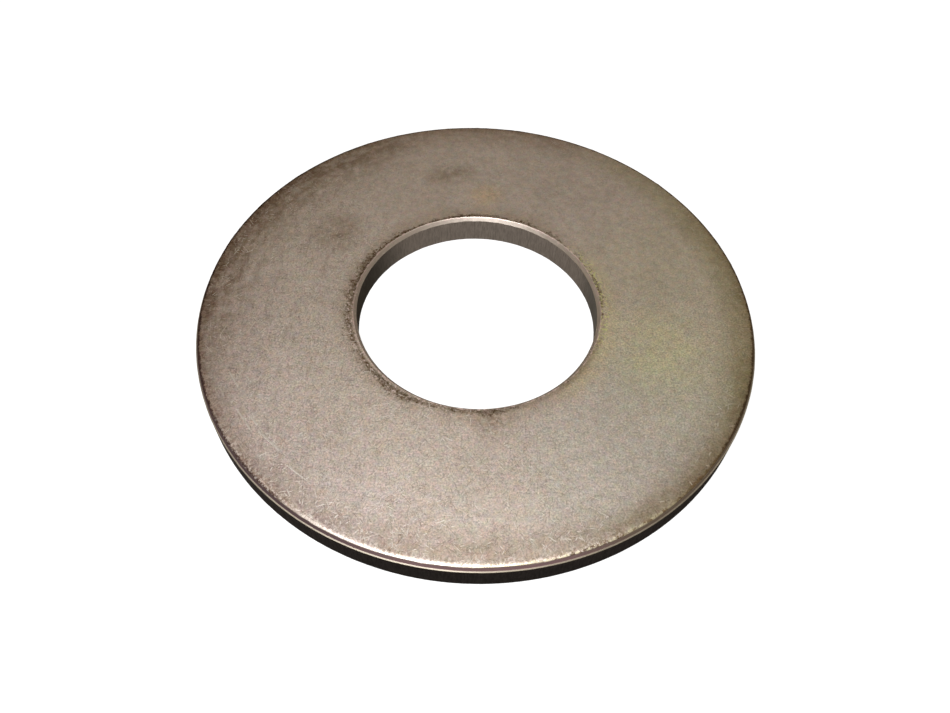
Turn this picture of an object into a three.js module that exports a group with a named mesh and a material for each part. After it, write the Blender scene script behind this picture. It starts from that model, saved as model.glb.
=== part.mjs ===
// Flat washer for a 1 inch bolt, in the wide pattern: one ring blanked from steel plate.
// Units are millimetres, +Z is up, and the origin is the centre of the hole at the bottom face.
import * as THREE from 'three';

// Driving dimensions.
const outerDiameter = 63.5;
const boreDiameter = 27.7;
const thickness = 3.6;

// Blanking pulls the upper edges down into narrow, steep bevels, and leaves the lower edges nearly
// sharp. Each edge is cut back by inset across the face and by drop down the wall.
const upperOuterEdge = { inset: 0.2, drop: 0.6 };
const upperBoreEdge = { inset: 0.4, drop: 0.58 };
const lowerOuterEdge = { inset: 0.12, drop: 0.12 };
const lowerBoreEdge = { inset: 0.2, drop: 0.25 };

// Fineness of the solid.
const roundEdgeSteps = 3;
const ringSegments = 96;

const outerRadius = outerDiameter / 2;
const boreRadius = boreDiameter / 2;

const tumbledSteel = new THREE.MeshStandardMaterial({
  name: 'tumbled_steel',
  color: new THREE.Color(0.47, 0.41, 0.35),
  roughness: 0.5,
  metalness: 1.0,
});

// A bevelled edge between the wall at wallRadius and the top face, from the wall upwards.
// inward is -1 where the metal lies towards the axis and +1 where it lies away from it.
function upperBevel(wallRadius, inward, edge) {
  return [
    new THREE.Vector2(wallRadius, thickness - edge.drop),
    new THREE.Vector2(wallRadius + inward * edge.inset, thickness),
  ];
}

// A quarter-ellipse edge between the bottom face and the wall at wallRadius, from the face upwards.
function lowerRound(wallRadius, inward, edge) {
  const points = [];
  for (let step = 0; step <= roundEdgeSteps; step += 1) {
    const turn = (step / roundEdgeSteps) * (Math.PI / 2);
    const radius = wallRadius + inward * edge.inset * (1 - Math.sin(turn));
    const height = edge.drop * (1 - Math.cos(turn));
    points.push(new THREE.Vector2(radius, height));
  }
  return points;
}

// The ring's cross-section, anticlockwise: up the outer wall, in over the top face,
// down the bore wall and out along the bottom face.
function crossSection() {
  const outline = [
    ...lowerRound(outerRadius, -1, lowerOuterEdge),
    ...upperBevel(outerRadius, -1, upperOuterEdge),
    ...upperBevel(boreRadius, 1, upperBoreEdge).reverse(),
    ...lowerRound(boreRadius, 1, lowerBoreEdge).reverse(),
  ];
  outline.push(outline[0].clone());
  return outline;
}

function makeWasher() {
  const geometry = new THREE.LatheGeometry(crossSection(), ringSegments);
  geometry.rotateX(Math.PI / 2);
  const washer = new THREE.Mesh(geometry, tumbledSteel);
  washer.name = 'washer';
  return washer;
}

const flatWasher = new THREE.Group();
flatWasher.name = 'flat_washer';
flatWasher.add(makeWasher());

export default flatWasher;
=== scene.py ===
"""Looks of the flat washer: one stamped steel ring, tumbled to a satin finish and tarnished.

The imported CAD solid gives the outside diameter, thickness and place. A finer ring stands in for it,
with rounded and slightly ragged edges, a hair-line lip, sheared walls and a procedural steel.
Lengths here are millimetres until MM turns them into Blender's metres. Directions are degrees
anticlockwise from +X, seen from above: 0 is right, 90 far, 180 left and -90 near.
"""
import math

import bpy
from mathutils import Matrix, Vector, noise


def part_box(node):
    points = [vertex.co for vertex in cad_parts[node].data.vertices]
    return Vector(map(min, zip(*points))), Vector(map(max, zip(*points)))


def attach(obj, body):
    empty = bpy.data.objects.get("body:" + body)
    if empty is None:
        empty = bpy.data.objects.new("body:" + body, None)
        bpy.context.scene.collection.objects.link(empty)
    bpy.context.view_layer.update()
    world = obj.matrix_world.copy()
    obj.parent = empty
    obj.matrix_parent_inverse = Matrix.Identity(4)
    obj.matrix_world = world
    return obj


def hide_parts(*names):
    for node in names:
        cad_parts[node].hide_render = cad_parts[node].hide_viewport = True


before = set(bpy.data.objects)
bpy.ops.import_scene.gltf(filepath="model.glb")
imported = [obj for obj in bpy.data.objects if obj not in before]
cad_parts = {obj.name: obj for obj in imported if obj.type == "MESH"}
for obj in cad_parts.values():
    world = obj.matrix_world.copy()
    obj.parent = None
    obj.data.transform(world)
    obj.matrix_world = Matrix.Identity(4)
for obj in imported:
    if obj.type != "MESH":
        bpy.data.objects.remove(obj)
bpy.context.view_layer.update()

MM = 0.001
LOW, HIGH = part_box("washer")
OUTER = (HIGH.x - LOW.x) / 2 / MM        # outside radius
BORE_PART = 0.4362                       # of the outside radius
BORE = OUTER * BORE_PART                 # hole radius
TOP = (HIGH.z - LOW.z) / MM              # thickness, and the height of the top face

BEVEL_WIDTH = 0.33                       # of the bevel round the hole
BEVEL_DROP = 0.45
LIP_DROP = 0.67                          # from the top face down to the lip round the outer wall
LIP_WIDTH = 0.14
LIP_RISE = 0.06                          # of the lip's top across its width
RIM_BEVEL_TOP = (0.29, 0.10)             # in from the outside and down from the top face
RIM_SHOULDER = 0.58                      # in from the outside, where the top face starts to fall away

RING_SEGMENTS = 720
FACE_SPACING = 0.8                       # between the rings of points across a flat face
WALL_SPACING = 0.55                      # and across a bevel or wall
END_GAP = 0.05                           # from an arc to the first ring of points beyond it

WAVINESS = 0.012                         # of the top face
RAGGED_COARSE = 0.030                    # of the worn edges
RAGGED_FINE = 0.026
STRIAE_COARSE = 0.010                    # of the sheared walls
STRIAE_FINE = 0.006
MOST_OUTWARDS = 0.02                     # past the outside radius

# The long bright scratches at the near left: direction from the axis in degrees, part of the outside
# radius, length, lean from the tangent in degrees, width.
SCRATCHES = ((204, 0.888, 2.8, 10, 0.11), (205, 0.842, 1.4, 18, 0.09), (215, 0.908, 3.8, 3, 0.11),
             (216, 0.882, 1.8, 4, 0.15), (222, 0.881, 4.0, 7, 0.16), (232, 0.890, 3.4, 2, 0.10))

CAMERA_BACK = 1.902                      # in outside radii, from the axis
CAMERA_ABOVE = 2.3175                    # in outside radii, above the top face
AIM_LEFT = 0.001
AIM_NEAR = 0.2314
CAMERA_ROLL = 2.07                       # degrees
LENS = 31.29
SENSOR = 36.0

KEY_PLACE = (-12, -61, 110)
KEY_AIM = (0, -2, TOP)
KEY_SIZE = (44, 34)
KEY_WATTS = 0.115
KEY_COLOUR = (0.98, 0.98, 1.0)
# How bright the studio is at each height, from straight down at 0 to straight up at 1.
STUDIO_LEVELS = ((0.0, 0.002), (0.09, 0.004), (0.18, 0.05), (0.32, 0.10), (0.53, 0.10), (0.66, 0.16),
                 (0.82, 0.25), (1.0, 0.25))
STUDIO_TINT = (1.1, 0.93, 0.73)
FLOOR_HALF = 2000
FLOOR_DROP = 0.02                        # below the washer
FLOOR_GREY = 0.3
FLOOR_GLOW = 0.92

# Colours of the steel. A tint multiplies what is under it.
LIGHT_STEEL = (0.76, 0.685, 0.615)
DARK_STEEL = (0.71, 0.635, 0.565)
GRAIN_TINT_SPREAD = (0.42, 0.27, 0.48)
GRAIN_TINT_LEAST = (0.79, 0.865, 0.76)
BROWN_TINT = (0.54, 0.475, 0.39)
SMEAR_TINT = (0.80, 0.755, 0.74)
DARK_RIM_TINT = (0.70, 0.635, 0.575)
# Partly painted light: a pink cast towards the near left of the rim.
PINKER_LIGHT_TINT = (0.98, 0.97, 1.0)
DIRT_TINT = (0.46, 0.37, 0.365)
GREEN_TINT = (0.99, 1.02, 0.94)
COOL_TINT = (0.95, 0.985, 0.985)
OLIVE_RIM_TINT = (0.91, 0.93, 0.81)
BLOOM_TINT = (1.10, 1.13, 0.99)
OLIVE_HOLE_TINT = (1.05, 1.065, 0.93)
WARM_SPOT_TINT = (1.07, 1.0, 0.86)
STAIN_TINT = (0.27, 0.21, 0.13)
STAIN_LINE_TINT = (0.38, 0.31, 0.21)
HOLE_SHADE_TINT = (0.78, 0.72, 0.64)
# Partly painted shade: a look of handling at the near edge of the hole.
HANDLED_AND_SHADE_TINT = (0.77, 0.75, 0.72)
SMUDGE_TINT = (0.62, 0.56, 0.50)
DARK_SCRATCH_TINT = (0.48, 0.43, 0.37)
SOFT_RIM_TINT = (0.80, 0.745, 0.69)
# Partly painted shade over the face by the rim at the near right.
RIGHT_RIM_SHADE_TINT = (0.83, 0.82, 0.74)
DULL_LIP_TINT = (0.64, 0.62, 0.58)
# Painted shade: the bore wall darkened at its left end.
BORE_WALL_PAINTED_SHADE_TINT = (0.25, 0.255, 0.24)
RIGHT_WALL_TINT = (0.58, 0.61, 0.61)
YELLOW_SPECK = (0.92, 0.95, 0.42)
PINK_SPECK = (1.0, 0.86, 0.82)
BRIGHT_SCRATCH = (1.0, 0.96, 0.90)
WHISKER = (1.0, 0.92, 0.82)
# Painted glints just inside the rim at the near side.
RIM_GLINT_SPECKLE = (1.0, 0.93, 0.86)
# Painted highlight: the worn rim lightened at the near side, where the lamp shines on it.
BARE_RIM_HIGHLIGHT = (1.0, 0.92, 0.84)
YELLOW_BARE_RIM_HIGHLIGHT = (0.96, 0.91, 0.64)
DULL_RIM_TINT = (0.38, 0.30, 0.26)
PURPLE_RIM_TINT = (0.25, 0.18, 0.19)
RIGHT_DULL_RIM_TINT = (0.72, 0.64, 0.50)
BORE_EDGE = (0.95, 0.86, 0.77)
LIP = (0.66, 0.61, 0.50)
ROSY_EDGE = (1.0, 0.80, 0.76)
PURPLE_BEVEL = (0.46, 0.29, 0.31)
DARK_BEVEL = (0.20, 0.12, 0.14)
OLIVE_BEVEL = (0.34, 0.26, 0.19)
BORE_WALL_STEEL = ((0.66, 0.59, 0.53), (0.92, 0.84, 0.77))
# The outer wall's near-black colour is a painted dark reflection, not the steel's own colour.
OUTER_WALL_DARK_REFLECTION_STEEL = ((0.26, 0.235, 0.23), (0.44, 0.40, 0.395))


# ---------------------------------------------------------------- camera, lights and floor

def make_camera():
    """Close above the near side, looking down and a little past the hole."""
    position = Vector((0, -CAMERA_BACK * OUTER, TOP + CAMERA_ABOVE * OUTER)) * MM
    aim = Vector((-AIM_LEFT * OUTER, -AIM_NEAR * OUTER, TOP)) * MM
    roll = math.radians(CAMERA_ROLL)
    data = bpy.data.cameras.new("camera")
    data.lens = LENS
    data.sensor_width = SENSOR
    data.clip_start = 0.001
    camera = bpy.data.objects.new("camera", data)
    turn = (aim - position).to_track_quat("-Z", "Y").to_matrix().to_4x4()
    camera.matrix_world = Matrix.Translation(position) @ turn @ Matrix.Rotation(roll, 4, "Z")
    bpy.context.scene.collection.objects.link(camera)
    bpy.context.scene.camera = camera


def area_light(name, position, aim, size, watts, colour):
    """An oval soft lamp that the camera itself doesn't see."""
    data = bpy.data.lights.new(name, "AREA")
    data.shape = "ELLIPSE"
    data.size = size[0] * MM
    data.size_y = size[1] * MM
    data.energy = watts
    data.color = colour
    light = bpy.data.objects.new(name, data)
    towards = Vector(aim) - Vector(position)
    light.location = Vector(position) * MM
    light.rotation_euler = towards.to_track_quat("-Z", "Y").to_euler()
    light.visible_camera = False
    bpy.context.scene.collection.objects.link(light)


def make_world():
    """White behind everything for the camera, and a dim studio for the metal to reflect."""
    world = bpy.data.worlds.new("studio")
    bpy.context.scene.world = world
    world.use_nodes = True
    nodes, links = world.node_tree.nodes, world.node_tree.links
    nodes.clear()
    place = nodes.new("ShaderNodeTexCoord")
    split = nodes.new("ShaderNodeSeparateXYZ")
    links.new(place.outputs["Generated"], split.inputs[0])
    height = nodes.new("ShaderNodeMapRange")
    height.inputs["From Min"].default_value = -1
    height.inputs["From Max"].default_value = 1
    links.new(split.outputs["Z"], height.inputs["Value"])
    ramp = nodes.new("ShaderNodeValToRGB")
    while len(ramp.color_ramp.elements) < len(STUDIO_LEVELS):
        ramp.color_ramp.elements.new(0.5)
    for element, (where, level) in zip(ramp.color_ramp.elements, STUDIO_LEVELS):
        element.position = where
        element.color = (*(level * part for part in STUDIO_TINT), 1)
    links.new(height.outputs["Result"], ramp.inputs["Fac"])
    studio = nodes.new("ShaderNodeBackground")
    links.new(ramp.outputs["Color"], studio.inputs["Color"])
    white = nodes.new("ShaderNodeBackground")
    white.inputs["Color"].default_value = (1, 1, 1, 1)
    path = nodes.new("ShaderNodeLightPath")
    choose = nodes.new("ShaderNodeMixShader")
    links.new(path.outputs["Is Camera Ray"], choose.inputs["Fac"])
    links.new(studio.outputs[0], choose.inputs[1])
    links.new(white.outputs[0], choose.inputs[2])
    out = nodes.new("ShaderNodeOutputWorld")
    links.new(choose.outputs[0], out.inputs["Surface"])


def make_floor():
    """A pale floor just under the washer. It glows a little, so that it stays even and near white."""
    half = FLOOR_HALF * MM
    drop = FLOOR_DROP * MM
    mesh = bpy.data.meshes.new("floor")
    corners = [(-half, -half, -drop), (half, -half, -drop), (half, half, -drop), (-half, half, -drop)]
    mesh.from_pydata(corners, [], [(0, 1, 2, 3)])
    floor = bpy.data.objects.new("floor", mesh)
    material = bpy.data.materials.new("floor_paper")
    material.use_nodes = True
    shader = material.node_tree.nodes["Principled BSDF"]
    shader.inputs["Base Color"].default_value = (FLOOR_GREY, FLOOR_GREY, FLOOR_GREY, 1)
    shader.inputs["Roughness"].default_value = 1.0
    shader.inputs["Specular IOR Level"].default_value = 0.0
    shader.inputs["Emission Color"].default_value = (1, 1, 1, 1)
    shader.inputs["Emission Strength"].default_value = FLOOR_GLOW
    mesh.materials.append(material)
    floor.visible_glossy = False
    floor.visible_diffuse = False
    bpy.context.scene.collection.objects.link(floor)


# ---------------------------------------------------------------- the ring's cross-section

# What each stretch of the surface is: how polished, how much bevel tarnish, how sheared.
FACE = (0.0, 0.0, 0.0)
EDGE = (1.0, 0.0, 0.0)
BEVEL = (0.0, 1.0, 0.0)
BORE_BEVEL = (1.0, 0.0, 0.0)
OUTER_WALL = (0.0, 0.0, 1.0)
BORE_WALL = (0.0, 0.0, 1.0)


def corner(radius, height, fillet, steps, kinds, next_kind):
    """A corner of the section, its rounding, what its arc goes from and to, and the run after it."""
    return {"at": Vector((radius, height)), "fillet": fillet, "steps": steps,
            "kinds": kinds, "next_kind": next_kind}


def ring_corners():
    """The corners, anticlockwise: up the outer wall, in over the top, down the bore, out underneath."""
    lip = TOP - LIP_DROP
    bevel_in, bevel_down = RIM_BEVEL_TOP
    return [
        corner(OUTER, 0, 0.12, 4, (EDGE, OUTER_WALL), OUTER_WALL),
        corner(OUTER, lip, 0.04, 3, (EDGE, EDGE), EDGE),
        corner(OUTER - LIP_WIDTH, lip + LIP_RISE, 0.04, 3, (EDGE, BEVEL), BEVEL),
        corner(OUTER - bevel_in, TOP - bevel_down, 0.14, 6, (BEVEL, FACE), FACE),
        corner(OUTER - RIM_SHOULDER, TOP, 1.0, 8, (FACE, FACE), FACE),
        corner(BORE + BEVEL_WIDTH, TOP, 0.12, 5, (FACE, BORE_BEVEL), BORE_BEVEL),
        corner(BORE, TOP - BEVEL_DROP, 0.04, 4, (BORE_BEVEL, BORE_WALL), BORE_WALL),
        corner(BORE, 0, 0.06, 3, (BORE_WALL, EDGE), FACE),
    ]


def arc(here, previous, following):
    """Points round one corner, from the run before it to the run after it."""
    back = (previous["at"] - here["at"]).normalized()
    on = (following["at"] - here["at"]).normalized()
    half = back.angle(on) / 2
    reach = here["fillet"] / math.tan(half)
    centre = here["at"] + (back + on).normalized() * (here["fillet"] / math.sin(half))
    first = here["at"] + back * reach - centre
    last = here["at"] + on * reach - centre
    sweep = first.angle(last)
    points = []
    for step in range(here["steps"] + 1):
        part = sweep * step / here["steps"]
        points.append(centre + (first * math.sin(sweep - part) + last * math.sin(part)) / math.sin(sweep))
    return points


def run(start, end, spacing):
    """Points along a straight run, between its ends: one close to each end, and evenly between."""
    length = (end - start).length
    if length < 4 * END_GAP:
        return []
    pieces = max(1, round((length - 2 * END_GAP) / spacing))
    places = [END_GAP + (length - 2 * END_GAP) * piece / pieces for piece in range(pieces + 1)]
    return [start.lerp(end, place / length) for place in places]


def blend_kinds(kinds, part):
    """From the first kind to the second, all of it within the first half of an arc."""
    part = min(1.0, 2 * part)
    return tuple(first + (last - first) * part for first, last in zip(*kinds))


def cross_section():
    """The closed outline: (radius, height, kind) for each point."""
    corners = ring_corners()
    count = len(corners)
    arcs = [arc(corners[i], corners[i - 1], corners[(i + 1) % count]) for i in range(count)]
    outline = []
    for index, here in enumerate(corners):
        for step, point in enumerate(arcs[index]):
            outline.append((point.x, point.y, blend_kinds(here["kinds"], step / here["steps"])))
        spacing = FACE_SPACING if here["next_kind"] is FACE else WALL_SPACING
        between = run(arcs[index][-1], arcs[(index + 1) % count][0], spacing)
        outline += [(point.x, point.y, here["next_kind"]) for point in between]
    return outline


# ---------------------------------------------------------------- the ring's mesh

def unevenness(direction, radius, height, kind):
    """How far a point stands off the true form: (outwards, upwards), in millimetres."""
    polished, bevelled, sheared = kind
    at = Vector((direction.x * radius, direction.y * radius, height))
    outwards = 0.0
    upwards = WAVINESS * noise.noise(at * 0.11)
    if polished or bevelled:
        worn = 1.0 if height > TOP - 0.3 else 0.4
        ragged = worn * (RAGGED_COARSE * noise.noise(at * 0.5) + RAGGED_FINE * noise.noise(at * 1.7))
        outwards += ragged
        upwards += ragged * 0.6
    if sheared:
        striae = Vector((direction.x * radius, direction.y * radius, height * 0.12))
        depth = STRIAE_COARSE * noise.noise(striae * 1.7) + STRIAE_FINE * noise.noise(striae * 4.1)
        outwards += sheared * depth
    if height < 0.001:
        upwards = 0.0
    return outwards, upwards


def make_ring():
    """The section turned round the axis, each point carrying what it lies on."""
    section = cross_section()
    count = len(section)
    points = []
    for segment in range(RING_SEGMENTS):
        angle = 2 * math.pi * segment / RING_SEGMENTS
        direction = Vector((math.cos(angle), math.sin(angle), 0))
        for radius, height, kind in section:
            outwards, upwards = unevenness(direction, radius, height, kind)
            reach = min(radius + outwards, OUTER + MOST_OUTWARDS)
            rise = max(height + upwards, 0.0)
            points.append((direction.x * reach * MM, direction.y * reach * MM, rise * MM))
    faces = []
    for segment in range(RING_SEGMENTS):
        here = segment * count
        beside = (segment + 1) % RING_SEGMENTS * count
        for row in range(count):
            above = (row + 1) % count
            faces.append((here + row, beside + row, beside + above, here + above))
    mesh = bpy.data.meshes.new("washer_ring")
    mesh.from_pydata(points, [], faces)
    mesh.polygons.foreach_set("use_smooth", [True] * len(faces))
    kinds = mesh.attributes.new("surface_kind", "FLOAT_VECTOR", "POINT")
    kinds.data.foreach_set("vector", [part for _, _, kind in section for part in kind] * RING_SEGMENTS)
    ring = bpy.data.objects.new("washer_ring", mesh)
    bpy.context.scene.collection.objects.link(ring)
    return ring


# ---------------------------------------------------------------- material

class Graph:
    """Builds a material's nodes. An input may be a number, a colour or another node's output."""

    def __init__(self, name):
        self.material = bpy.data.materials.new(name)
        self.material.use_nodes = True
        self.nodes = self.material.node_tree.nodes
        self.links = self.material.node_tree.links
        self.nodes.clear()

    def node(self, kind, settings=None, **inputs):
        made = self.nodes.new(kind)
        for name, value in (settings or {}).items():
            setattr(made, name, value)
        for name, value in inputs.items():
            self.plug(made, name.replace("_", " "), value)
        return made

    def plug(self, node, socket, value):
        target = node.inputs[socket]
        if isinstance(value, bpy.types.NodeSocket):
            self.links.new(value, target)
        else:
            target.default_value = value

    def math(self, operation, *values):
        made = self.node("ShaderNodeMath", {"operation": operation})
        for index, value in enumerate(values):
            self.plug(made, index, value)
        return made.outputs[0]

    def vector(self, operation, *values):
        made = self.node("ShaderNodeVectorMath", {"operation": operation})
        for index, value in enumerate(values):
            self.plug(made, index, value)
        return made.outputs["Value" if operation in ("LENGTH", "DOT_PRODUCT") else "Vector"]

    def noise(self, vector, scale, detail=2.0, rough=0.5, output="Fac"):
        made = self.node("ShaderNodeTexNoise", Vector=vector, Scale=scale, Detail=detail,
                         Roughness=rough)
        return made.outputs[output]

    def rise(self, value, low, high):
        """0 below low and 1 above high, with a smooth step between. It falls when low is above high."""
        made = self.node("ShaderNodeMapRange", {"interpolation_type": "SMOOTHSTEP"},
                         Value=value, From_Min=low, From_Max=high)
        return made.outputs["Result"]

    def mix(self, amount, first, second, blend="MIX"):
        made = self.node("ShaderNodeMix", {"data_type": "RGBA", "blend_type": blend})
        for index, value in ((0, amount), (6, first), (7, second)):
            self.plug(made, index, value)
        return made.outputs[2]

    def times(self, *values):
        product = values[0]
        for value in values[1:]:
            product = self.math("MULTIPLY", product, value)
        return product


def rgb(red, green, blue):
    return (red, green, blue, 1.0)


class Spot:
    """Where a point of the ring is, in millimetres, and what it lies on, as node outputs."""

    def __init__(self, g):
        self.g = g
        scaled = g.node("ShaderNodeVectorMath", {"operation": "SCALE"}, Scale=1 / MM)
        g.plug(scaled, 0, g.node("ShaderNodeTexCoord").outputs["Object"])
        self.place = scaled.outputs[0]
        flat = g.vector("MULTIPLY", self.place, (1, 1, 0))
        self.radius = g.vector("LENGTH", flat)
        self.direction = g.vector("NORMALIZE", flat)
        kind = g.node("ShaderNodeAttribute", {"attribute_name": "surface_kind"}).outputs["Vector"]
        self.edge, self.bevel, self.wall = g.node("ShaderNodeSeparateXYZ", Vector=kind).outputs
        covered = g.math("MAXIMUM", self.edge, g.math("MAXIMUM", self.bevel, self.wall))
        self.face = g.math("SUBTRACT", 1.0, covered)
        self.outside = g.rise(self.radius, OUTER * 0.6, OUTER * 0.7)

    def sector(self, degrees, half, soft):
        """1 within half a width of that direction from the axis, fading to 0 over soft more degrees."""
        towards = (math.cos(math.radians(degrees)), math.sin(math.radians(degrees)), 0)
        return self.g.rise(self.g.vector("DOT_PRODUCT", self.direction, towards),
                           math.cos(math.radians(half + soft)), math.cos(math.radians(half)))

    def band(self, low, high, soft):
        """1 between two radii, fading to 0 over soft millimetres outside them."""
        return self.g.times(self.g.rise(self.radius, low - soft, low),
                            self.g.rise(self.radius, high + soft, high))

    def patch(self, degrees, radius, core, soft):
        """1 within core millimetres of a point at that direction and radius, fading over soft more."""
        turn = math.radians(degrees)
        centre = (math.cos(turn) * radius, math.sin(turn) * radius, 0)
        away = self.g.vector("SUBTRACT", self.g.vector("MULTIPLY", self.place, (1, 1, 0)), centre)
        return self.g.rise(self.g.vector("LENGTH", away), core + soft, core)

    def polar(self, around, outwards):
        """Coordinates for streaks: around counts per radian, outwards per millimetre."""
        g = self.g
        steps = g.node("ShaderNodeCombineXYZ", Z=g.math("MULTIPLY", self.radius, outwards))
        return g.vector("MULTIPLY_ADD", self.direction, (around, around, around), steps.outputs[0])

    def scratch(self, degrees, part, length, lean, width):
        """One straight scratch with thin ends, centred at a direction and part of the outside radius."""
        g = self.g
        turn = math.radians(degrees)
        along_turn = turn + math.radians(90 + lean)
        centre = (math.cos(turn) * part * OUTER, math.sin(turn) * part * OUTER, 0)
        offset = g.vector("SUBTRACT", self.place, centre)
        along = g.vector("DOT_PRODUCT", offset, (math.cos(along_turn), math.sin(along_turn), 0))
        across = g.vector("DOT_PRODUCT", offset, (-math.sin(along_turn), math.cos(along_turn), 0))
        return g.times(g.rise(g.math("ABSOLUTE", along), length / 2, length / 4),
                       g.rise(g.math("ABSOLUTE", across), width, width / 3))

    def strokes(self, cell, length, width, keep, shift):
        """Short straight hairlines, one to a cell, at random places and angles: 1 on a line."""
        g = self.g
        spread = g.vector("MULTIPLY_ADD", self.place, (1 / cell, 1 / cell, 0), (shift, shift * 1.7, 0))
        cells = g.node("ShaderNodeTexVoronoi", {"voronoi_dimensions": "2D"}, Vector=spread, Scale=1.0)
        chance = g.node("ShaderNodeSeparateColor", Color=cells.outputs["Color"])
        offset = g.vector("SUBTRACT", spread, cells.outputs["Position"])
        turned = g.node("ShaderNodeVectorRotate", {"rotation_type": "Z_AXIS"}, Vector=offset,
                        Angle=g.math("MULTIPLY", chance.outputs[0], math.pi))
        local = g.node("ShaderNodeSeparateXYZ", Vector=turned.outputs[0])
        along = g.math("ABSOLUTE", local.outputs[0])
        across = g.math("ABSOLUTE", local.outputs[1])
        half = length / cell / 2
        return g.times(g.rise(along, half, half * 0.5), g.rise(across, width / cell, width / cell * 0.3),
                       g.math("LESS_THAN", chance.outputs[1], keep))


def tinted(g, colour, amount, tint):
    """The colour multiplied by a tint, where the amount is 1."""
    return g.mix(amount, colour, rgb(*tint), "MULTIPLY")


def ground_colour(g, at, grain):
    """Clouded satin steel with a fine light and dark grain and a faint pink, green and blue one."""
    cloud = g.noise(at.place, 0.16, 4, 0.6)
    colour = g.mix(g.rise(cloud, 0.3, 0.7), rgb(*LIGHT_STEEL), rgb(*DARK_STEEL))
    blotch = g.noise(at.place, 1.2, 4, 0.75)
    strength = g.math("MULTIPLY_ADD", at.sector(95, 50, 60), -0.55, 1.22)
    strength = g.math("MULTIPLY_ADD", at.sector(205, 50, 40), 0.55, strength)
    strength = g.math("MULTIPLY_ADD", at.sector(-35, 25, 30), 0.45, strength)
    light = g.math("MULTIPLY_ADD", g.math("SUBTRACT", grain, 0.5), strength,
                   g.math("MULTIPLY_ADD", blotch, 0.6, 0.70))
    tints = g.noise(at.place, 1.3, 5, 0.78, "Color")
    tints = g.vector("MULTIPLY_ADD", tints, GRAIN_TINT_SPREAD, GRAIN_TINT_LEAST)
    colour = g.vector("MULTIPLY", colour, tints)
    grey = g.node("ShaderNodeCombineXYZ", X=light, Y=light, Z=light)
    return g.vector("MULTIPLY", colour, grey.outputs[0])


def rim_tarnish(g, at, colour):
    """A cloudy brown arc over the far left with two smudges, smears on the left, and a darker rim."""
    mottle = g.noise(at.place, 0.8, 4, 0.7)
    streaks = g.noise(at.polar(9, 0.9), 1.0, 3, 0.65)
    uneven = g.rise(g.math("MULTIPLY", g.math("ADD", mottle, streaks), 0.5), 0.36, 0.62)
    arc_mask = g.times(at.sector(154, 24, 32), g.rise(at.radius, OUTER * 0.70, OUTER * 0.98))
    inner_mask = at.patch(148, OUTER * 0.655, 1.2, 3.4)
    far_mask = g.times(at.sector(101, 2, 9), at.band(OUTER * 0.69, OUTER * 0.71, 2.2))
    smudges = g.math("MULTIPLY", g.math("MAXIMUM", inner_mask, far_mask), 0.62)
    patch = g.times(g.math("MAXIMUM", arc_mask, smudges), g.math("MULTIPLY_ADD", uneven, 0.75, 0.25))
    colour = tinted(g, colour, g.times(patch, at.face), BROWN_TINT)
    smears = g.rise(g.noise(g.vector("MULTIPLY", at.place, (1.3, 0.28, 1.0)), 1.0, 4, 0.75), 0.50, 0.66)
    smeared = g.times(smears, at.sector(180, 40, 30), at.band(OUTER * 0.58, OUTER * 0.98, 3), at.face)
    colour = tinted(g, colour, g.math("MULTIPLY", smeared, 0.6), SMEAR_TINT)
    cloudy = g.math("MULTIPLY_ADD", uneven, 0.5, 0.5)
    rim = g.times(g.rise(at.radius, OUTER * 0.83, OUTER * 0.975), cloudy)
    fresher = g.math("MAXIMUM", at.sector(215, 25, 20), at.sector(48, 8, 14))
    rim = g.times(rim, g.math("MULTIPLY_ADD", fresher, -0.5, 0.95))
    colour = tinted(g, colour, g.times(rim, at.face), DARK_RIM_TINT)
    return rim_light_cast_and_dirt(g, at, colour)


def rim_light_cast_and_dirt(g, at, colour):
    """A slight pink cast towards the near left of the rim, partly painted light, and clumps of dirt along
    the left of it.
    """
    # Partly painted light: a pinker cast of the light towards the near left of the rim.
    pinker_light = g.times(at.sector(215, 28, 25), g.rise(at.radius, OUTER * 0.6, OUTER * 0.9), at.face)
    colour = tinted(g, colour, pinker_light, PINKER_LIGHT_TINT)
    dirt = g.times(g.rise(at.radius, OUTER * 0.90, OUTER * 0.995), at.sector(195, 45, 30),
                   g.rise(g.noise(at.place, 2.4, 4, 0.8), 0.44, 0.60))
    return tinted(g, colour, g.times(dirt, at.face, 0.75), DIRT_TINT)


def green_cast(g, at, colour):
    """A faint green over the right of the ring, a yellower bloom in it, and a warm spot far off."""
    wide = g.rise(at.radius, OUTER * 0.44, OUTER * 0.6)
    colour = tinted(g, colour, g.times(at.sector(0, 14, 36), wide), GREEN_TINT)
    colour = tinted(g, colour, g.times(at.sector(-45, 14, 22), wide), COOL_TINT)
    rim = g.times(at.sector(18, 30, 22), g.rise(at.radius, OUTER * 0.84, OUTER * 0.96))
    colour = tinted(g, colour, rim, OLIVE_RIM_TINT)
    drift = g.rise(g.noise(at.place, 0.5, 4, 0.65), 0.30, 0.62)
    bloom = g.times(at.patch(-15, OUTER * 0.67, 1.5, 6.5), g.math("MULTIPLY_ADD", drift, 0.6, 0.4))
    colour = tinted(g, colour, bloom, BLOOM_TINT)
    beside_hole = g.times(at.sector(-8, 30, 22), at.band(BORE, OUTER * 0.48, 2.0))
    colour = tinted(g, colour, beside_hole, OLIVE_HOLE_TINT)
    return tinted(g, colour, at.patch(88, OUTER * 0.57, 0.5, 2.4), WARM_SPOT_TINT)


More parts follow.
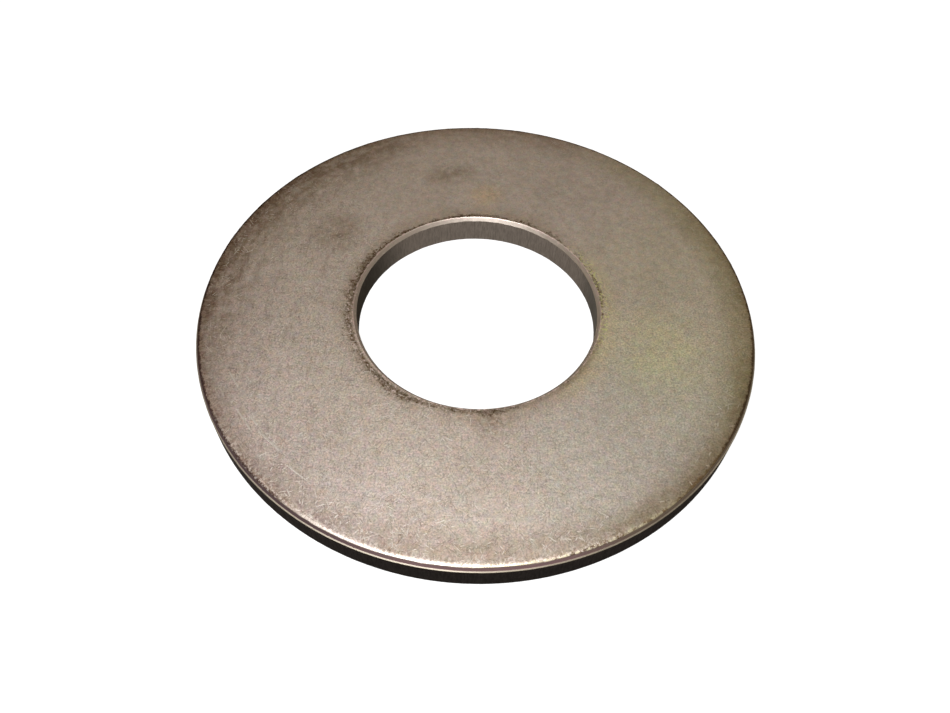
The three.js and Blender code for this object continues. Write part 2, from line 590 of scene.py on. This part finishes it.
def hole_stain(g, at, colour):
    """A dark ragged stain round the hole's bevel, deepest on the left, and a line at the far left."""
    ragged = g.noise(at.place, 1.9, 4, 0.8)
    drift = g.noise(at.place, 0.25, 2, 0.5)
    left = at.sector(195, 45, 30)
    near = at.sector(-35, 25, 20)
    reach = g.math("ADD", g.math("MULTIPLY_ADD", ragged, 3.4, -2.05), g.math("MULTIPLY", drift, 1.6))
    reach = g.math("ADD", reach, g.math("MULTIPLY_ADD", left, 0.75, g.math("MULTIPLY", near, -0.35)))
    reach = g.math("MULTIPLY_ADD", at.sector(150, 15, 20), -0.3, reach)
    from_bevel = g.math("SUBTRACT", at.radius, BORE + BEVEL_WIDTH)
    broken = g.math("MULTIPLY_ADD", g.rise(g.noise(at.place, 4.0, 2, 0.7), 0.40, 0.60), 0.55, 0.45)
    clean = g.times(g.rise(from_bevel, 0.45, 0.15), at.sector(218, 26, 18))
    stain = g.times(g.rise(g.math("SUBTRACT", reach, from_bevel), -0.2, 0.6), at.face, broken,
                    g.math("SUBTRACT", 1.0, clean))
    colour = tinted(g, colour, stain, STAIN_TINT)
    line = g.times(g.rise(from_bevel, 0.5, 0.0), at.sector(135, 30, 42), at.face,
                   g.math("MULTIPLY_ADD", g.rise(ragged, 0.40, 0.55), 0.4, 0.6))
    colour = tinted(g, colour, line, STAIN_LINE_TINT)
    return hole_specks(g, at, hole_shade(g, at, colour, ragged))


def hole_shade(g, at, colour, ragged):
    """A soft painted shade round the hole, a look of handling at its near edge that is partly painted shade,
    and a smudge beyond that.
    """
    strength = g.math("MULTIPLY_ADD", at.sector(12, 28, 20), -0.42, 0.55)
    shade = g.times(at.band(0, BORE + 0.9, 2.2), at.face, strength)
    colour = tinted(g, colour, shade, HOLE_SHADE_TINT)
    # A look of handling at the near edge of the hole, partly painted shade.
    handled_and_shade = g.times(g.rise(at.radius, BORE + 1.2, BORE + 0.7), at.sector(-72, 50, 22), at.face)
    colour = tinted(g, colour, handled_and_shade, HANDLED_AND_SHADE_TINT)
    smudge = g.times(at.patch(-83, OUTER * 0.50, 0.5, 2.4), g.rise(ragged, 0.38, 0.58))
    return tinted(g, colour, g.times(smudge, at.face, 0.8), SMUDGE_TINT)


def hole_specks(g, at, colour):
    """Yellow-green specks along the right of the hole and pink ones along its near left."""
    chance = g.noise(at.place, 3.3, 2, 0.6)
    close = g.times(at.band(BORE + BEVEL_WIDTH, BORE + 1.0, 0.7), at.face)
    yellow = g.times(close, at.sector(8, 20, 18), g.rise(chance, 0.52, 0.62))
    colour = g.mix(g.math("MULTIPLY", yellow, 0.65), colour, rgb(*YELLOW_SPECK))
    pink = g.times(close, at.sector(215, 36, 22), g.rise(chance, 0.55, 0.65))
    return g.mix(g.math("MULTIPLY", pink, 0.75), colour, rgb(*PINK_SPECK))


def either(g, *masks):
    """The greatest of some masks."""
    most = masks[0]
    for mask in masks[1:]:
        most = g.math("MAXIMUM", most, mask)
    return most


def bright_hairlines(g, at, worn):
    """Short scratches all over, more of them at the rim, and a few long ones at the near left."""
    bright = either(g, at.strokes(0.5, 0.6, 0.045, 0.55, 3.0), at.strokes(1.3, 1.2, 0.05, 0.35, 17.0))
    clumps = g.math("MULTIPLY_ADD", g.rise(g.noise(at.place, 0.45, 3, 0.7), 0.46, 0.62), 0.8, 0.2)
    bright = g.times(bright, worn, clumps, 0.9)
    long_ones = g.times(at.strokes(3.0, 2.4, 0.06, 0.4, 11.0), at.sector(215, 32, 24), 0.5)
    rim_ones = either(g, at.strokes(0.7, 0.6, 0.09, 0.25, 5.0), at.strokes(1.3, 1.1, 0.07, 0.35, 7.0))
    corners = g.math("MAXIMUM", at.sector(-133, 16, 18), at.sector(-44, 16, 18))
    rim_ones = g.times(rim_ones, g.rise(at.radius, OUTER - 5.0, OUTER - 1.5), clumps,
                       g.math("MULTIPLY_ADD", at.sector(-90, 60, 15), 0.3, g.math("MULTIPLY", corners, 0.9)))
    broken = g.rise(g.noise(at.place, 2.5, 3, 0.7), 0.30, 0.46)
    scuffs = g.times(either(g, *[at.scratch(*scratch) for scratch in SCRATCHES]), broken, 1.5)
    return g.times(either(g, bright, long_ones, rim_ones, scuffs), at.face)


def dark_hairlines(g, at, worn):
    """Dark scratches, and fine cracks in the tarnish."""
    dark = either(g, at.strokes(0.7, 0.8, 0.05, 0.5, 23.0), at.strokes(2.2, 2.0, 0.05, 0.4, 31.0))
    level = g.math("ABSOLUTE", g.math("SUBTRACT", g.noise(at.place, 0.8, 4, 0.7), 0.5))
    cracks = g.times(g.rise(level, 0.014, 0.002), g.rise(g.noise(at.place, 0.7, 2, 0.6), 0.50, 0.60))
    dark = g.times(g.math("MAXIMUM", g.math("MULTIPLY", dark, 0.6), cracks), worn)
    return g.times(dark, at.face)


def worn_rim(g, at, colour):
    """The rounded rim: worn bright at the near side, with a painted highlight there and painted glints just
    inside it, purple-brown on the left, dull elsewhere, and partly painted shade over the face at the near
    right.
    """
    ragged = g.noise(at.place, 1.8, 3, 0.75)
    start = g.math("MULTIPLY_ADD", ragged, -0.9, OUTER - 0.07)
    rim = g.times(g.rise(g.math("SUBTRACT", at.radius, start), -0.08, 0.08), at.face)
    broken = g.rise(g.noise(at.place, 1.6, 3, 0.75), 0.42, 0.58)
    near = g.math("MAXIMUM", at.sector(-100, 13, 16), g.times(at.sector(-72, 16, 12), broken))
    away = g.math("SUBTRACT", 1.0, near)
    tint = g.mix(at.sector(175, 45, 22), rgb(*DULL_RIM_TINT), rgb(*PURPLE_RIM_TINT))
    tint = g.mix(at.sector(-50, 9, 10), tint, rgb(*RIGHT_DULL_RIM_TINT))
    colour = g.mix(g.times(rim, away, 0.92), colour, tint, "MULTIPLY")
    soft = g.times(g.rise(at.radius, OUTER - 1.8, OUTER - 0.35), at.face, away,
                   g.math("MULTIPLY_ADD", at.sector(50, 12, 15), -0.6, 1.0))
    colour = tinted(g, colour, soft, SOFT_RIM_TINT)
    # Partly painted shade: darker over the face by the rim at the near right.
    right = g.times(g.rise(at.radius, OUTER - 3.2, OUTER - 0.8), at.face, at.sector(-38, 16, 16))
    colour = tinted(g, colour, right, RIGHT_RIM_SHADE_TINT)
    # Painted glints: light specks just inside the rim at the near side.
    painted_glints = g.times(g.rise(g.noise(at.place, 3.4, 3, 0.7), 0.50, 0.60), at.sector(-104, 36, 14),
                      g.rise(at.radius, OUTER - 1.7, OUTER - 0.6), at.face)
    colour = g.mix(g.math("MULTIPLY", painted_glints, 0.55), colour, rgb(*RIM_GLINT_SPECKLE))
    # Worn metal at the near side of the rim, lightened further as a painted highlight.
    bare_and_highlight = g.times(rim, near)
    rubbed_and_highlight = g.mix(at.sector(-62, 20, 14), rgb(*BARE_RIM_HIGHLIGHT), rgb(*YELLOW_BARE_RIM_HIGHLIGHT))
    return g.mix(g.math("MULTIPLY", bare_and_highlight, 0.6), colour, rubbed_and_highlight), bare_and_highlight


def edges_and_walls(g, at, colour):
    """Bare polished edges, a purple-brown bevel, an outer wall painted near black as a dark reflection, and
    a drawn bore wall with painted shade at its left end.
    """
    bright_edge = g.mix(at.outside, rgb(*BORE_EDGE), rgb(*LIP))
    dull_lip = g.times(at.outside, at.sector(-66, 14, 16))
    bright_edge = tinted(g, bright_edge, dull_lip, DULL_LIP_TINT)
    colour = g.mix(g.math("MULTIPLY", at.edge, 0.85), colour, bright_edge)
    ragged = g.rise(g.noise(at.place, 2.6, 3, 0.7), 0.42, 0.62)
    rosy = g.times(at.band(BORE + BEVEL_WIDTH - 0.1, BORE + BEVEL_WIDTH + 0.1, 0.1), ragged, 0.7)
    colour = g.mix(rosy, colour, rgb(*ROSY_EDGE))
    bevel = g.mix(at.sector(195, 42, 25), rgb(*PURPLE_BEVEL), rgb(*DARK_BEVEL))
    bevel = g.mix(at.sector(-15, 40, 20), bevel, rgb(*OLIVE_BEVEL))
    colour = g.mix(g.math("MULTIPLY", at.bevel, 0.92), colour, bevel)
    striae = g.noise(g.vector("MULTIPLY", at.place, (5.0, 5.0, 0.9)), 1.0, 3, 0.7)
    contrast = g.rise(striae, 0.25, 0.75)
    bore_wall = g.mix(contrast, rgb(*BORE_WALL_STEEL[0]), rgb(*BORE_WALL_STEEL[1]))
    # Painted shade at the left end of the bore wall.
    bore_wall = tinted(g, bore_wall, at.sector(188, 22, 42), BORE_WALL_PAINTED_SHADE_TINT)
    bore_wall = tinted(g, bore_wall, at.sector(-8, 14, 26), RIGHT_WALL_TINT)
    # The outer wall painted near black as a dark reflection.
    outer_wall_dark_reflection = g.mix(contrast, rgb(*OUTER_WALL_DARK_REFLECTION_STEEL[0]), rgb(*OUTER_WALL_DARK_REFLECTION_STEEL[1]))
    return g.mix(at.wall, colour, g.mix(at.outside, bore_wall, outer_wall_dark_reflection))


def rim_whiskers(g, at):
    """Fine streaks that run in from the rim."""
    streaks = g.rise(g.noise(at.polar(110, 0.7), 1.0, 2, 0.6), 0.48, 0.70)
    return g.times(g.rise(at.radius, OUTER - 2.2, OUTER - 0.5), streaks, at.face)


def roughness(g, at, grain, bare_and_highlight, lines):
    """Satin, and smoother on the bore's edge, the worn rim at the near side, the outer wall and the bright
    lines.
    """
    polish = g.math("MULTIPLY", at.edge, g.math("MULTIPLY_ADD", at.outside, -0.14, 0.18))
    rough = g.math("SUBTRACT", g.math("MULTIPLY_ADD", grain, 0.25, 0.50), polish)
    rough = g.math("MULTIPLY_ADD", bare_and_highlight, -0.10, rough)
    rough = g.math("MULTIPLY_ADD", g.times(at.wall, at.outside), -0.20, rough)
    return g.math("MULTIPLY_ADD", lines, -0.10, rough)


def steel_material():
    """The one steel of the whole ring: its colour in layers, then how it shines and its fine relief."""
    g = Graph("tumbled_steel")
    at = Spot(g)
    grain = g.noise(at.place, 5.0, 3, 0.75)
    colour = ground_colour(g, at, grain)
    colour = rim_tarnish(g, at, colour)
    colour = green_cast(g, at, colour)
    colour = hole_stain(g, at, colour)
    worn = g.math("MULTIPLY_ADD", at.sector(215, 55, 45), 0.65, 0.45)
    bright = bright_hairlines(g, at, worn)
    dark = dark_hairlines(g, at, worn)
    colour = g.mix(g.math("MINIMUM", g.math("MULTIPLY", bright, 0.9), 1.0), colour, rgb(*BRIGHT_SCRATCH))
    colour = tinted(g, colour, g.math("MULTIPLY", dark, 0.75), DARK_SCRATCH_TINT)
    whiskers = rim_whiskers(g, at)
    colour = g.mix(g.math("MULTIPLY", whiskers, 0.3), colour, rgb(*WHISKER))
    colour, bare_and_highlight = worn_rim(g, at, colour)
    colour = edges_and_walls(g, at, colour)

    metallic = g.math("MULTIPLY_ADD", at.bevel, -0.45, 1.0)
    rough = roughness(g, at, grain, bare_and_highlight, either(g, bright, whiskers))
    relief = g.math("MULTIPLY_ADD", g.math("SUBTRACT", bright, dark), 1.3, g.math("MULTIPLY", grain, 0.5))
    bump = g.node("ShaderNodeBump", Strength=0.3, Distance=0.02 * MM, Height=relief)
    shader = g.node("ShaderNodeBsdfPrincipled", Metallic=metallic, Base_Color=colour, Roughness=rough,
                    Normal=bump.outputs[0])
    g.plug(g.node("ShaderNodeOutputMaterial"), "Surface", shader.outputs[0])
    return g.material


# ---------------------------------------------------------------- the scene

def main():
    make_camera()
    area_light("key", KEY_PLACE, KEY_AIM, KEY_SIZE, KEY_WATTS, KEY_COLOUR)
    make_world()
    make_floor()
    bpy.context.scene.view_settings.view_transform = "Standard"

    ring = make_ring()
    ring.data.materials.append(steel_material())
    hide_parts("washer")
    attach(ring, "root")


main()
